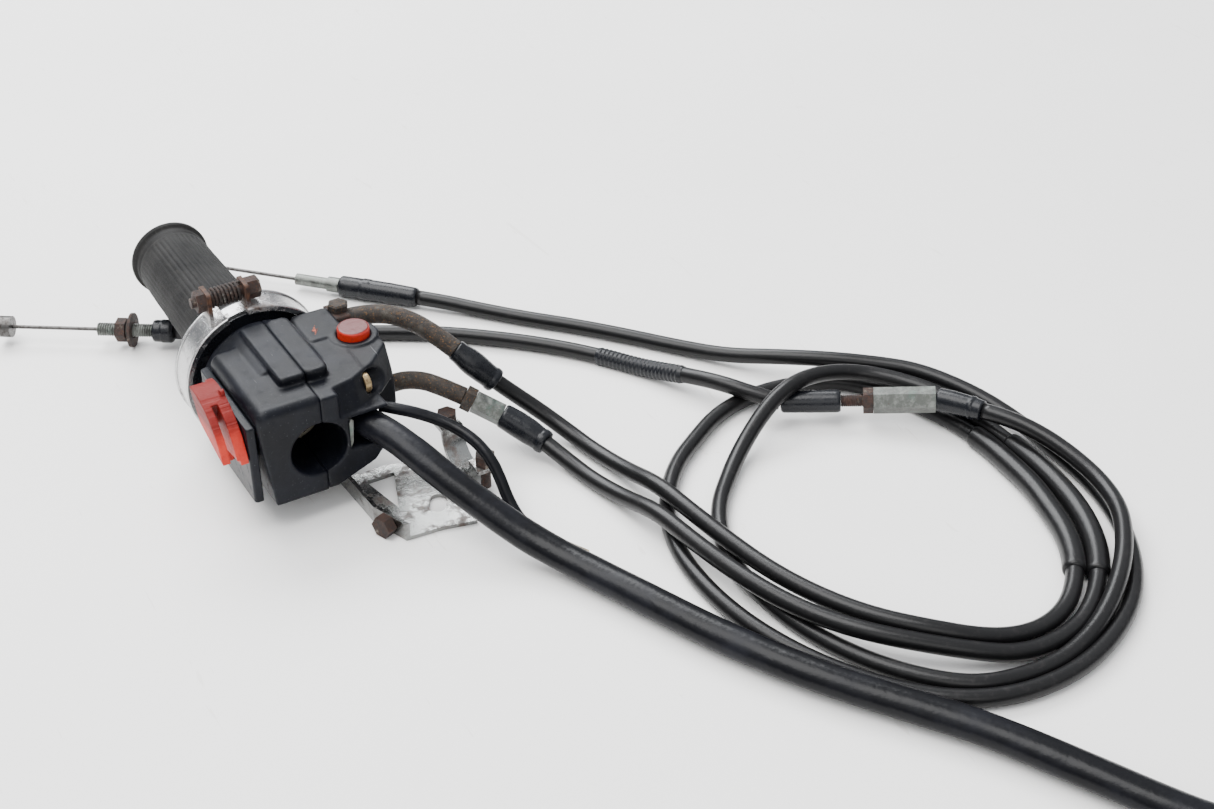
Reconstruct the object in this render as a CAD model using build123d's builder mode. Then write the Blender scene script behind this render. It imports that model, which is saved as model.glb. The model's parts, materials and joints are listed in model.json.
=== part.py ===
from build123d import *
import math
import os

# Right-hand motorcycle throttle grip with its switch housing, two throttle cables, wiring loom
# and a clamp bracket.  Millimetres.  The origin is on the handlebar axis at the inboard face of
# the switch housing.  +Y points outboard along the bar, +X to the side where the cables leave,
# +Z up while the assembly lies on a table.

# ---- driving dimensions ----
FLOOR = -30.0  # surface that the assembly lies on

CLAMP_BORE_R = 11.15  # for a 22.2 mm handlebar
SEAM_X = 2.0  # plane where the two housing halves meet
SEAM_GAP = 0.15
HOUSING_TOP = 22.0
HOUSING_END = 56.0  # outboard face of the round housing end
END_R = 25.0
COLLAR_R = 22.0
COLLAR_END = 70.0
COLLAR_BORE_R = 18.8
CHAMBER_R = 17.0  # room for the cable drum
CHAMBER_Y = (26.0, 45.5)
TUBE_PASS_R = 13.4

TUBE_BORE_R = 11.18
TUBE_R = 13.0
TUBE_Y = (27.0, 161.8)
DRUM_R = 16.3
DRUM_Y = (29.0, 43.0)
CABLE_R_ON_DRUM = 14.5
GROOVE_Y = (32.5, 39.5)

GRIP_Y = (57.5, 164.5)
GRIP_INNER_R = 17.4
GRIP_OUTER_R = 15.4
GRIP_FLANGE_R = 16.8
GRIP_FLANGE_T = 3.2

BAND_Y = (58.0, 72.0)
BAND_R = (27.6, 29.4)
LIP_R = 0.6
LINER_INNER_R = 22.02
LINER_Y = (60.5, 71.0)
EAR_X = (-14.5, -1.0)
EAR_TOP = 38.6
EAR_T = 1.6
BAND_SCREW_Z = 34.6
BAND_SCREW_Y = 65.5

BUTTON = (30.6, 34.6)  # axis of the start button
BUTTON_R = 6.2
BUTTON_TOP = 24.9
BOSS_R = 9.3
BOSS_TOP = 20.8
WELL_R = 7.2

EXIT_SCREW = (10.2, 15.5)  # y and z of the screw that joins the halves
EXIT_SCREW_X = 22.7  # underside of its head

KILL = (26.0, -2.0)  # kill switch pivot, y and z
KILL_R = 24.5
KILL_X = (-36.0, -26.4)
KILL_ANGLES = (72.0, 170.0)  # rim of the rocker, from +Y towards +Z
KILL_BASE_X = -26.0
KILL_HUB_X = -29.4  # outer face of the hub
KILL_HUB_CUT = ((60, 22.3), (31.7, 22.3), (24, 10.1), (10.1, 5.9), (-10, 1.0), (-10, -40), (60, -40))
PIVOT_R = 2.5

CABLE_D = 6.6
CABLE_Z = FLOOR + CABLE_D / 2
OVER_Z = -19.7  # axis of a cable that lies on the coil
PIPE_D = 7.6
WIRE_R = 0.8
LOOM_D = 12.5
LOOM_Z = FLOOR + LOOM_D / 2
LEAD_D = 4.6

COIL_C = (180.0, -110.0)
COIL_STRETCH = 16.0  # the coil is this much longer (half axis) along Y than along X
COIL_OUTER = (82.5, 70.5)
COIL_INNER = (66.5, 59.5)
COIL_H = 6.8

os.makedirs("parts", exist_ok=True)


def save(builder, name):
    """Label one finished piece and write it to its own file."""
    builder.part.label = name
    export_step(builder.part, f"parts/{name}.step")


def corner_radii(points):
    """Largest arc for each corner of a route: 0.45 of the shorter run over tan(half the turn)."""
    vectors = [Vector(*p) for p in points]
    radii = []
    for a, b, c in zip(vectors, vectors[1:], vectors[2:]):
        turn = math.radians((b - a).get_angle(c - b))
        shorter = min((b - a).length, (c - b).length)
        radii.append(0.45 * shorter / math.tan(turn / 2))
    return radii


def route(points):
    """One smooth path: straight runs joined by tangent arcs."""
    with BuildLine() as path:
        FilletPolyline(*points, radius=corner_radii(points))
    return path.wire()


def tube(name, points, diameter, bore=0.0):
    """A cord or pipe along a route, with its length, tightest arc and volume check printed."""
    line = route(points)
    with BuildPart() as piece:
        with BuildSketch(Plane(origin=line @ 0, z_dir=line % 0)):
            Circle(diameter / 2)
            if bore:
                Circle(bore / 2, mode=Mode.SUBTRACT)
        sweep(path=line)
    section = math.pi * (diameter**2 - bore**2) / 4
    print(
        f"{name}: length {line.length:.1f}  smallest radius {min(corner_radii(points)):.1f}"
        f"  volume / (section x length) {piece.part.volume / (section * line.length):.4f}"
    )
    save(piece, name)


def along(start, end, distance):
    """Point that far from start on the way to end."""
    a = Vector(*start)
    b = Vector(*end)
    return a + (b - a).normalized() * distance


def rod_plane(start, end, distance=0.0):
    """Plane square to the line from start to end, that far along it."""
    return Plane(
        origin=along(start, end, distance),
        z_dir=(Vector(*end) - Vector(*start)).normalized(),
    )


# Planes whose sketches lie square to the bar: local x is +X, local y is +Z, extruding goes +Y.
def across(y):
    return Plane(origin=(0, y, 0), x_dir=(1, 0, 0), z_dir=(0, -1, 0))


# Planes square to X: local x is +Y, local y is +Z, extruding goes +X.
def side(x):
    return Plane(origin=(x, 0, 0), x_dir=(0, 1, 0), z_dir=(1, 0, 0))


def disc(y0, y1, radius, mode=Mode.ADD):
    """Cylinder about the bar axis from y0 to y1, in the current part."""
    with BuildSketch(across(y0)) as profile:
        Circle(radius)
    extrude(profile.sketch, amount=-(y1 - y0), mode=mode)


# ---- switch housing, in two halves ----
def cut_bores():
    """Bar bore, drum chamber, tube passage and the collar's bore."""
    disc(-1, CHAMBER_Y[0] + 1, CLAMP_BORE_R, Mode.SUBTRACT)
    disc(CHAMBER_Y[0], CHAMBER_Y[1], CHAMBER_R, Mode.SUBTRACT)
    disc(CHAMBER_Y[1] - 1, HOUSING_END, TUBE_PASS_R, Mode.SUBTRACT)
    disc(HOUSING_END - 0.5, COLLAR_END + 1, COLLAR_BORE_R, Mode.SUBTRACT)


def keep_side(sign):
    """Cut away everything beyond the seam plane."""
    with BuildSketch(across(-20)) as beyond:
        with Locations((SEAM_X - sign * (60 - SEAM_GAP / 2), 0)):
            Rectangle(120, 120)
    extrude(beyond.sketch, amount=-120, mode=Mode.SUBTRACT)


UPPER_OUTLINE = [(14, 22), (-22.4, 22), (-22.4, 17), (-18.6, -19), (14, -19)]
with BuildPart() as upper_housing:
    with BuildSketch(across(0)):
        with BuildLine():
            Polyline(*UPPER_OUTLINE, close=True)
        make_face()
    extrude(amount=-47)
    top_left = upper_housing.edges().filter_by(Axis.Y).group_by(Axis.X)[0].sort_by(Axis.Z)[-1]
    fillet(top_left, 4.5)
    front = upper_housing.faces().sort_by(Axis.Y)[0]
    fillet(front.edges().filter_by(Axis.X).sort_by(Axis.Z)[-1], 3.0)
    disc(24, HOUSING_END, END_R)
    disc(HOUSING_END - 0.5, COLLAR_END, COLLAR_R)
    # raised band along the seam
    with BuildSketch(Plane.XY.offset(18)):
        with Locations((SEAM_X - 4.9, 33)):
            RectangleRounded(9.8, 41, 1.5)
    extrude(amount=7.6)
    cut_bores()
    keep_side(-1)
    # threaded hole of the screw that joins the halves
    with BuildSketch(side(SEAM_X)):
        with Locations(EXIT_SCREW):
            Circle(2.03)
    extrude(amount=-15.0, mode=Mode.SUBTRACT)
    # well for the kill switch pivot pin
    with BuildSketch(side(-30)):
        with Locations(KILL):
            Circle(PIVOT_R - 0.4)
    extrude(amount=12.4, mode=Mode.SUBTRACT)
    # clearance for the flat cover of the kill switch
    with BuildSketch(side(-40)):
        with Locations((26, 0)):
            Rectangle(49, 35)
    extrude(amount=17.5, mode=Mode.SUBTRACT)
save(upper_housing, "upper_housing")

LOWER_OUTLINE = [(-10, 21), (24, 21), (28, 18), (28, -3), (24.5, -9), (21.5, -12.5), (6, -18.6), (-10, -18.6)]
with BuildPart() as lower_housing:
    with BuildSketch(across(0)):
        with BuildLine():
            Polyline(*LOWER_OUTLINE, close=True)
        make_face()
    extrude(amount=-47)
    disc(24, HOUSING_END, END_R)
    disc(HOUSING_END - 0.5, COLLAR_END, COLLAR_R)
    # block towards the cable exit, with a slanted inboard face
    with BuildSketch(Plane.XY.offset(-3)):
        with BuildLine():
            Polyline((4, 0.2), (18, 0.2), (30, 7), (38.6, 15), (38.6, 43), (4, 43), close=True)
        make_face()
        fillet(vertices().group_by(Axis.X)[-1], 3)
    with BuildSketch(Plane.XY.offset(12)):
        with BuildLine():
            Polyline((4, 0.8), (18, 2), (30, 10), (38.6, 19), (38.6, 43), (4, 43), close=True)
        make_face()
        fillet(vertices().group_by(Axis.X)[-1], 3)
    with BuildSketch(Plane.XY.offset(BOSS_TOP)):
        with BuildLine():
            Polyline((4, 5), (18, 7.5), (29, 14), (38.6, 24), (38.6, 43), (4, 43), close=True)
        make_face()
        fillet(vertices().group_by(Axis.X)[-1], 3)
    loft(ruled=True)
    # front corner above the lip drops away in front of the slanted face
    with BuildSketch(Plane.XY.offset(10.5)):
        with BuildLine():
            Polyline((9, -1), (9, 0.4), (18, 1.8), (30, 9.6), (40, 20), (40, -1), close=True)
        make_face()
    with BuildSketch(Plane.XY.offset(23)):
        with BuildLine():
            Polyline((9, -1), (9, 6), (18, 8.2), (29.5, 15), (40, 26), (40, -1), close=True)
        make_face()
    loft(ruled=True, mode=Mode.SUBTRACT)
    # rear block that carries the return cable's elbow
    with BuildSketch(Plane.XY.offset(-6)):
        with Locations((21.5, 47.3)):
            RectangleRounded(15, 20.6, 1.5)
    extrude(amount=HOUSING_TOP - 0.2 + 6)
    # boss round the start button
    with BuildSketch(Plane.XY.offset(2)):
        with Locations(BUTTON):
            Circle(BOSS_R)
    extrude(amount=BOSS_TOP + 0.8 - 2)
    # raised band along the seam
    with BuildSketch(Plane.XY.offset(16)):
        with Locations((SEAM_X + 4.6, 33)):
            RectangleRounded(9.2, 41, 3.0)
    extrude(amount=9.6)
    cut_bores()
    keep_side(1)
    # loom outlet under the lip
    with BuildSketch(Plane.XY.offset(-4.6)):
        with BuildLine():
            Polyline((12.2, -2), (12.2, 14), (26, 17), (41, 17), (41, -2), close=True)
        make_face()
    extrude(amount=13.8, mode=Mode.SUBTRACT)
    # well of the start button, with a smaller mouth that keeps the button in
    with BuildSketch(Plane.XY.offset(4)):
        with Locations(BUTTON):
            Circle(WELL_R)
    extrude(amount=13.4, mode=Mode.SUBTRACT)
    with BuildSketch(Plane.XY.offset(16)):
        with Locations(BUTTON):
            Circle(BUTTON_R + 0.3)
    extrude(amount=8, mode=Mode.SUBTRACT)
    # sockets of the two elbow pipes
    with BuildSketch(side(26)):
        with Locations((34.0, -6.0)):
            Circle(PIPE_D / 2 + 0.05)
    extrude(amount=20, mode=Mode.SUBTRACT)
    with BuildSketch(side(25)):
        with Locations((54.0, 16.6)):
            Circle(PIPE_D / 2 + 0.05)
    extrude(amount=10, mode=Mode.SUBTRACT)
    # notch for the head of the exit side screw, and the hole for its shank
    with BuildSketch(side(EXIT_SCREW_X - 0.1)):
        with Locations(EXIT_SCREW):
            Circle(4.6)
    extrude(amount=12, mode=Mode.SUBTRACT)
    with BuildSketch(side(EXIT_SCREW_X)):
        with Locations(EXIT_SCREW):
            Circle(2.1)
    extrude(amount=-26, mode=Mode.SUBTRACT)
save(lower_housing, "lower_housing")

# ---- screw that joins the two halves, with its head towards the exit side ----
with BuildPart() as exit_side_screw:
    with BuildSketch(side(EXIT_SCREW_X)):
        with Locations(EXIT_SCREW):
            Circle(3.9)
    extrude(amount=2.6)
    fillet(exit_side_screw.edges().group_by(Axis.X)[-1], 0.8)
    with BuildSketch(side(EXIT_SCREW_X + 2.6)):
        with Locations(EXIT_SCREW):
            Rectangle(1.0, 8.2)
    extrude(amount=-1.2, mode=Mode.SUBTRACT)
    with BuildSketch(side(EXIT_SCREW_X + 0.5)):
        with Locations(EXIT_SCREW):
            Circle(2.0)
    extrude(amount=-34.0)
save(exit_side_screw, "exit_side_screw")

# ---- kill switch ----
with BuildPart() as kill_switch_cover:
    with BuildSketch(across(2.2)):
        with BuildLine():
            Polyline((KILL_BASE_X, 16), (-22.7, 16), (-22.7, -16.6), (KILL_BASE_X, -16.6), close=True)
        make_face()
    extrude(amount=-47)
    outer_face = kill_switch_cover.faces().sort_by(Axis.X)[0]
    fillet(outer_face.edges().filter_by(Axis.Z), 1.0)
    with BuildSketch(side(-30)):
        with Locations(KILL):
            Circle(PIVOT_R - 0.4)
    extrude(amount=12, mode=Mode.SUBTRACT)
save(kill_switch_cover, "kill_switch_cover")


def sector(radius, angles, centre):
    """Face bounded by an arc about centre and the two radii at its ends, in a YZ sketch."""
    a0 = math.radians(angles[0])
    a1 = math.radians(angles[1])
    am = (a0 + a1) / 2
    pts = [
        (centre[0] + radius * math.cos(a), centre[1] + radius * math.sin(a))
        for a in (a0, am, a1)
    ]
    with BuildLine() as outline:
        ThreePointArc(pts[0], pts[1], pts[2])
        Line(pts[2], centre)
        Line(centre, pts[0])
    make_face(outline.edges())


with BuildPart() as kill_rocker:
    with BuildSketch(side(KILL_X[0])):
        sector(KILL_R, KILL_ANGLES, KILL)
        with Locations(KILL):
            Circle(8.0)
    extrude(amount=KILL_X[1] - KILL_X[0])
    # away from the rim only the thin hub beside the cover is left
    with BuildSketch(side(KILL_X[0] - 1.0)):
        with BuildLine():
            Polyline(*KILL_HUB_CUT, close=True)
        make_face()
    extrude(amount=KILL_HUB_X - KILL_X[0] + 1.0, mode=Mode.SUBTRACT)
    # groove for the thumb between the body and the thin outer prong
    with BuildSketch(side(KILL_X[0] + 3.0)):
        sector(KILL_R + 2, (112, 178), KILL)
        with Locations(KILL):
            Circle(9.0, mode=Mode.SUBTRACT)
    extrude(amount=2.4, mode=Mode.SUBTRACT)
    # blind bore for the pivot pin
    with BuildSketch(side(KILL_X[1] - 2.0)):
        with Locations(KILL):
            Circle(PIVOT_R + 0.05)
    extrude(amount=3.0, mode=Mode.SUBTRACT)
    # pointer
    with BuildSketch(side(KILL_X[1] - 1.8)):
        with Locations((KILL[0] - 5.2, KILL[1] + 24.2)):
            Circle(1.5)
    extrude(amount=1.8)
save(kill_rocker, "kill_rocker")

with BuildPart() as kill_pivot_pin:
    with BuildSketch(side(KILL_X[1] - 1.9)):
        with Locations(KILL):
            Circle(PIVOT_R)
    extrude(amount=2.0)
    with BuildSketch(side(KILL_X[1] + 0.1)):
        with Locations(KILL):
            Circle(PIVOT_R - 0.45)
    extrude(amount=7.6)
save(kill_pivot_pin, "kill_pivot_pin")

# ---- start button ----
with BuildPart() as start_button:
    with BuildSketch(Plane.XY.offset(15.2)):
        with Locations(BUTTON):
            Circle(WELL_R - 0.25)
    extrude(amount=2.0)
    with BuildSketch(Plane.XY.offset(15.2)):
        with Locations(BUTTON):
            Circle(BUTTON_R)
    extrude(amount=BUTTON_TOP - 15.2)
    fillet(start_button.faces().sort_by(Axis.Z)[-1].edges(), 0.9)
save(start_button, "start_button")

with BuildPart() as start_plunger:
    with BuildSketch(Plane.XY.offset(10.4)):
        with Locations(BUTTON):
            Circle(2.0)
    extrude(amount=4.8)
    with BuildSketch(Plane.XY.offset(9.4)):
        with Locations(BUTTON):
            RectangleRounded(9.0, 4.0, 1.0)
    extrude(amount=1.0)
save(start_plunger, "start_plunger")


def helix_spring(name, base, direction, mean_r, wire_r, height, turns):
    """Round-wire compression spring that starts at base and grows along direction."""
    with BuildPart() as spring:
        with BuildLine() as turns_line:
            Helix(pitch=height / turns, height=height, radius=mean_r, center=base, direction=direction)
        coil = turns_line.wire()
        with BuildSketch(Plane(origin=coil @ 0, z_dir=coil % 0)):
            Circle(wire_r)
        sweep(path=coil, is_frenet=True)
    save(spring, name)
    return spring


helix_spring("start_spring", (*BUTTON, 9.8), (0, 0, 1), 5.2, 0.35, 5.0, 4)

with BuildPart() as start_switch_base:
    with BuildSketch(Plane.XY.offset(4.1)):
        with Locations(BUTTON):
            Circle(WELL_R - 0.1)
    extrude(amount=2.0)
save(start_switch_base, "start_switch_base")

with BuildPart() as start_contacts:
    with BuildSketch(Plane.XY.offset(6.1)):
        with Locations((BUTTON[0] - 3.2, BUTTON[1]), (BUTTON[0] + 3.2, BUTTON[1])):
            Rectangle(2.0, 2.6)
    extrude(amount=0.5)
save(start_contacts, "start_contacts")

# ---- throttle tube, drum and rubber grip ----
with BuildPart() as throttle_tube:
    disc(TUBE_Y[0], TUBE_Y[1], TUBE_R)
    disc(DRUM_Y[0], DRUM_Y[1], DRUM_R)
    for y in GROOVE_Y:
        with BuildSketch(across(y - 1.1)):
            Circle(DRUM_R + 1)
            Circle(CABLE_R_ON_DRUM - 0.8, mode=Mode.SUBTRACT)
        extrude(amount=-2.2, mode=Mode.SUBTRACT)
    disc(TUBE_Y[0] - 1, TUBE_Y[1] - 2.0, TUBE_BORE_R, Mode.SUBTRACT)
    disc(TUBE_Y[1] - 3.0, TUBE_Y[1] + 1, 4.0, Mode.SUBTRACT)
save(throttle_tube, "throttle_tube")

with BuildPart() as grip_rubber:
    with BuildSketch(Plane.XY):
        with BuildLine():
            Line((TUBE_R + 0.02, GRIP_Y[0]), (GRIP_INNER_R - 0.6, GRIP_Y[0]))
            Line((GRIP_INNER_R - 0.6, GRIP_Y[0]), (GRIP_INNER_R, GRIP_Y[0] + 2))
            Line((GRIP_INNER_R, GRIP_Y[0] + 2), (GRIP_INNER_R, 84))
            Spline(
                (GRIP_INNER_R, 84), (16.6, 118), (GRIP_OUTER_R, 152),
                tangents=((0, 1), (0, 1)),
            )
            Line((GRIP_OUTER_R, 152), (GRIP_OUTER_R, GRIP_Y[1] - GRIP_FLANGE_T))
            Line((GRIP_OUTER_R, GRIP_Y[1] - GRIP_FLANGE_T), (GRIP_FLANGE_R, GRIP_Y[1] - GRIP_FLANGE_T))
            Line((GRIP_FLANGE_R, GRIP_Y[1] - GRIP_FLANGE_T), (GRIP_FLANGE_R, GRIP_Y[1] - 0.8))
            Line((GRIP_FLANGE_R, GRIP_Y[1] - 0.8), (GRIP_FLANGE_R - 0.8, GRIP_Y[1]))
            Line((GRIP_FLANGE_R - 0.8, GRIP_Y[1]), (4.0, GRIP_Y[1]))
            Line((4.0, GRIP_Y[1]), (4.0, TUBE_Y[1] + 0.02))
            Line((4.0, TUBE_Y[1] + 0.02), (TUBE_R + 0.02, TUBE_Y[1] + 0.02))
            Line((TUBE_R + 0.02, TUBE_Y[1] + 0.02), (TUBE_R + 0.02, GRIP_Y[0]))
        make_face()
    revolve(axis=Axis.Y)
save(grip_rubber, "grip_rubber")

with BuildPart() as drum_nipples:
    for y, z in ((GROOVE_Y[0], -4.0), (GROOVE_Y[1], 4.0)):
        with BuildSketch(across(y - 1.0)):
            with Locations((-CABLE_R_ON_DRUM * 0.99, z)):
                Circle(0.75)
        extrude(amount=-2.0)
save(drum_nipples, "drum_nipples")

# ---- sprung band clamp round the collar ----
def band_gap(y0, y1):
    """Cut the band open between its two ears."""
    with BuildSketch(across(y0)) as wedge:
        with BuildLine():
            Polyline((0, 0), (EAR_X[0] * 1.22, 48.8), (EAR_X[1] - 2.0, 48.8), close=True)
        make_face()
    extrude(wedge.sketch, amount=-(y1 - y0), mode=Mode.SUBTRACT)


with BuildPart() as band_clamp:
    with BuildSketch(across(BAND_Y[0])):
        Circle(BAND_R[1])
        Circle(BAND_R[0], mode=Mode.SUBTRACT)
    extrude(amount=-(BAND_Y[1] - BAND_Y[0]))
    with BuildSketch(Plane.XY):
        with Locations((BAND_R[1], BAND_Y[0] + LIP_R), (BAND_R[1], BAND_Y[1] - LIP_R)):
            Circle(LIP_R)
    revolve(axis=Axis.Y)
    band_gap(BAND_Y[0] - 2, BAND_Y[1] + 2)
    for x, outward in ((EAR_X[0] - EAR_T, -1), (EAR_X[1], 1)):
        with BuildSketch(side(x)):
            with Locations((BAND_SCREW_Y, (24.2 + EAR_TOP) / 2)):
                RectangleRounded(9.5, EAR_TOP - 24.2, 1.5)
            with Locations((BAND_SCREW_Y, BAND_SCREW_Z)):
                Circle(2.15, mode=Mode.SUBTRACT)
        extrude(amount=EAR_T)
    disc(BAND_Y[0] - 2, BAND_Y[1] + 2, BAND_R[0], Mode.SUBTRACT)
save(band_clamp, "band_clamp")

with BuildPart() as band_bridge:
    with BuildSketch(across(BAND_SCREW_Y - 3.4)):
        Circle(27.55)
        Circle(26.75, mode=Mode.SUBTRACT)
        with BuildLine():
            Polyline((0, 0), (-34, 56), (-46, 56), (-46, 60), (12, 60), (5, 30), close=True)
        make_face(mode=Mode.INTERSECT)
    extrude(amount=-6.8)
save(band_bridge, "band_bridge")

with BuildPart() as band_liner:
    with BuildSketch(across(LINER_Y[0])):
        Circle(26.7)
        Circle(LINER_INNER_R, mode=Mode.SUBTRACT)
    extrude(amount=-(LINER_Y[1] - LINER_Y[0]))
save(band_liner, "band_liner")


def hex_head(plane, across_flats, height, hole=0.0):
    """Hexagon head or nut on a plane."""
    with BuildSketch(plane) as hexagon:
        RegularPolygon(across_flats / 2, 6, major_radius=False)
        if hole:
            Circle(hole, mode=Mode.SUBTRACT)
    extrude(hexagon.sketch, amount=height)


SCREW_PLANE = Plane(
    origin=(EAR_X[1] + EAR_T + 0.05, BAND_SCREW_Y, BAND_SCREW_Z),
    x_dir=(0, 1, 0),
    z_dir=(1, 0, 0),
)
with BuildPart() as band_screw:
    hex_head(SCREW_PLANE, 7.6, 5.2)
    chamfer(band_screw.faces().sort_by(Axis.X)[-1].edges(), 0.5)
    with BuildSketch(SCREW_PLANE):
        Circle(2.0)
    extrude(amount=-22.0)
save(band_screw, "band_screw")

NUT_PLANE = Plane(
    origin=(EAR_X[0] - EAR_T - 0.05, BAND_SCREW_Y, BAND_SCREW_Z),
    x_dir=(0, 1, 0),
    z_dir=(-1, 0, 0),
)
with BuildPart() as band_nut:
    hex_head(NUT_PLANE, 7.6, 3.4, hole=2.03)
save(band_nut, "band_nut")

SPRING_BASE = (EAR_X[0] + 0.7, BAND_SCREW_Y, BAND_SCREW_Z)
helix_spring("band_spring", SPRING_BASE, (1, 0, 0), 3.4, 0.55, EAR_X[1] - EAR_X[0] - 1.4, 8)

# ---- elbow pipes, boots and adjuster on the exit side ----
RETURN_ELBOW = [
    (27, 54, 16.6), (36.5, 54, 16.6), (44.5, 51.2, 17.2), (52, 46.2, 17.2), (58.5, 39.2, 15),
    (63.8, 32.8, 11.2), (69, 26.8, 6),
]
tube("return_elbow", RETURN_ELBOW, PIPE_D, bore=3.0)
RETURN_BOOT = [(69, 26.8, 6), (73.3, 22.6, 1.4), (77.4, 19.6, -3.2), (81.4, 17.0, -7.6)]
tube("return_boot", RETURN_BOOT, 10.2, bore=CABLE_D + 0.04)

with BuildPart() as return_elbow_bolt:
    HEX_AT = Plane(origin=(33.0, 55.0, 20.95))
    hex_head(HEX_AT, 7.2, 3.0)
    chamfer(return_elbow_bolt.faces().sort_by(Axis.Z)[-1].edges(), 0.6)
save(return_elbow_bolt, "return_elbow_bolt")

with BuildPart() as return_elbow_clamp:
    with BuildSketch(side(29.05)):
        with Locations((54.6, 16.4)):
            RectangleRounded(12.0, 9.0, 1.0)
        with Locations((54.0, 16.6)):
            Circle(PIPE_D / 2 + 0.04, mode=Mode.SUBTRACT)
    extrude(amount=6.4)
save(return_elbow_clamp, "return_elbow_clamp")

PULL_ELBOW = [
    (28, 34, -6.0), (39.5, 34, -6.0), (48, 31.5, -3.8), (54.8, 26.6, -3.6), (60.4, 20.4, -5.4),
    (66.2, 14.8, -8.2),
]
tube("pull_elbow", PULL_ELBOW, PIPE_D - 0.4, bore=3.0)
ADJ_A = (66.2, 14.8, -8.2)
ADJ_B = (78.4, 3.6, -15.6)
with BuildPart() as pull_locknut:
    hex_head(rod_plane(ADJ_A, ADJ_B, 0.05), 8.8, 4.2, hole=2.6)
    chamfer(pull_locknut.faces().sort_by(Axis.X)[-1].edges(), 0.4)
save(pull_locknut, "pull_locknut")
with BuildPart() as pull_adjuster:
    with BuildSketch(rod_plane(ADJ_A, ADJ_B, 0.05)):
        Circle(2.55)
        Circle(1.2, mode=Mode.SUBTRACT)
    extrude(amount=6.0)
    with BuildSketch(rod_plane(ADJ_A, ADJ_B, 4.35)):
        RegularPolygon(3.9, 6, major_radius=False)
        Circle(1.2, mode=Mode.SUBTRACT)
    extrude(amount=12.0)
save(pull_adjuster, "pull_adjuster")
ADJ_END = tuple(along(ADJ_A, ADJ_B, 16.4))
PULL_BOOT = [ADJ_END, (83.6, -2.2, -19.2), (88.2, -11.4, -22.9)]
tube("pull_boot", PULL_BOOT, 10.4, bore=CABLE_D + 0.04)

# ---- two throttle cables: leads, coil and tails ----
RETURN_LEAD = [
    (73.3, 22.6, 1.4), (77.4, 19.6, -3.2), (81.4, 17.0, -7.6), (87.7, 12.6, -13.6),
    (95.0, 5.6, -20.0), (100.8, -5.0, -24.8), (104.4, -20.0, CABLE_Z), (107.4, -40.0, -24.6),
    (109.4, -59.0, OVER_Z), (111.2, -79.0, OVER_Z), (113.8, -101.0, -20.2), (117.2, -122.0, -20.2),
    (123.4, -142.0, OVER_Z), (133.0, -160.0, OVER_Z), (146.0, -175.0, OVER_Z),
]
PULL_LEAD = [
    ADJ_END, (83.6, -2.2, -19.2), (88.2, -11.4, -22.9), (91.6, -22.9, -25.6),
    (94.4, -37.0, CABLE_Z), (97.8, -55.0, -24.6),
    (100.4, -73.0, OVER_Z), (102.4, -94.0, OVER_Z), (105.8, -115.0, -20.2), (110.6, -136.0, OVER_Z),
    (119.2, -155.0, OVER_Z), (131.5, -171.5, OVER_Z),
]
tube("return_cable_lead", RETURN_LEAD, CABLE_D)
tube("pull_cable_lead", PULL_LEAD, CABLE_D)


def coil_face(outer, inner):
    """Flat oval ring, between two half widths along X."""
    with Locations(COIL_C):
        Ellipse(outer, outer + COIL_STRETCH)
        Ellipse(inner, inner + COIL_STRETCH, mode=Mode.SUBTRACT)


with BuildPart() as cable_coil:
    with BuildSketch(Plane.XY.offset(FLOOR)):
        coil_face(*COIL_OUTER)
    extrude(amount=COIL_H)
save(cable_coil, "cable_coil")

with BuildPart() as cable_coil_inner:
    with BuildSketch(Plane.XY.offset(FLOOR)):
        coil_face(*COIL_INNER)
        with BuildLine():
            Polyline(COIL_C, (184, -10), (300, -10), (300, -190), close=True)
        make_face(mode=Mode.SUBTRACT)
    extrude(amount=COIL_H)
save(cable_coil_inner, "cable_coil_inner")

A_IN = (94.5, 117.6, -25.2)
A_OUT = (54.6, 160.0, -25.2)
RETURN_TAIL = [
    (243.0, -48.0, OVER_Z), (231.0, -35.0, OVER_Z), (216.0, -22.0, OVER_Z), (200.0, -7.0, -21.6),
    (186.0, 9.0, -25.4), (173.0, 27.0, CABLE_Z), (158.5, 46.0, CABLE_Z), (143.4, 64.2, CABLE_Z),
    (127.5, 81.0, CABLE_Z), (112.5, 98.5, -26.4), (103.0, 108.8, -25.4), A_IN,
]
tube("return_cable_tail", RETURN_TAIL, CABLE_D)

IN_A = (183.0, -34.6, -22.4)
IN_B = (233.4, -71.6, -17.0)
B_CAP = (-8.9, 141.0, -22.4)
B_END = (-72.1, 183.1, -22.4)
PULL_TAIL = [
    IN_A, (175.6, -27.0, -20.6), (167.6, -14.0, OVER_Z), (160.6, 2.0, -22.6), (152.0, 20.0, CABLE_Z),
    (141.0, 37.6, CABLE_Z), (127.6, 54.4, CABLE_Z), (111.0, 71.0, CABLE_Z), (91.0, 88.0, CABLE_Z),
    (67.8, 102.6, CABLE_Z), (44.0, 115.0, CABLE_Z), (21.0, 125.4, -25.8), (4.0, 133.0, -23.6), B_CAP,
]
tube("pull_cable_tail", PULL_TAIL, CABLE_D)
IN_LINK = [
    (241.6, -89.0, -15.15), (246.4, -98.0, -14.8), (252.0, -111.0, -16.4), (255.0, -126.0, -18.6),
    (254.0, -143.0, OVER_Z), (248.0, -159.0, OVER_Z),
]
tube("pull_cable_link", IN_LINK, CABLE_D)

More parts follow.
